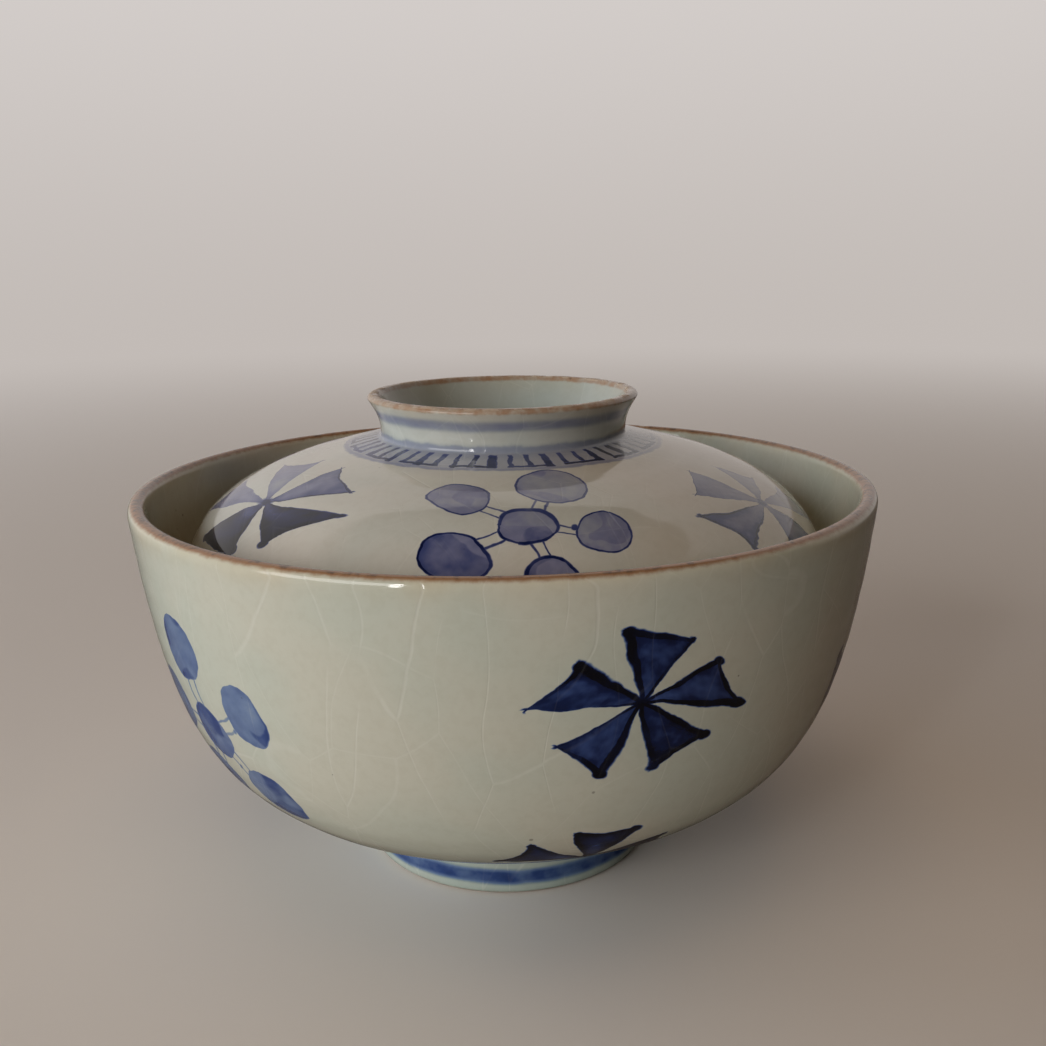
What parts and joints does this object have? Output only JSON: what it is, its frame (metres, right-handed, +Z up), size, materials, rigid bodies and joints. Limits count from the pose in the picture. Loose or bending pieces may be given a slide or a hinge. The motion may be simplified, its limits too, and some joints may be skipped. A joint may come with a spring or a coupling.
{
  "type": "lidded rice bowl",
  "caption": "Deep round porcelain rice bowl on a turned foot ring, with a domed drop-in lid that has a flared ring knob.",
  "frame": {"origin": "centre of the foot ring's resting plane, on the common axis of bowl and lid", "axes": "+Z up along the axis of both pieces, -Y towards the painted front, +X to the right as seen from the front"},
  "size_m": [0.115, 0.115, 0.0745],
  "materials": {
    "bowl_glaze": "gloss",
    "lid_glaze": "gloss"
  },
  "bodies": {
    "bowl": {"bowl": "bowl_glaze"},
    "lid": {"lid": "lid_glaze"}
  },
  "joints": [
    {"name": "lid_lift", "type": "slide", "parent": "bowl", "child": "lid", "axis": [0, 0, 1], "range_m": [0, 0.05]}
  ]
}
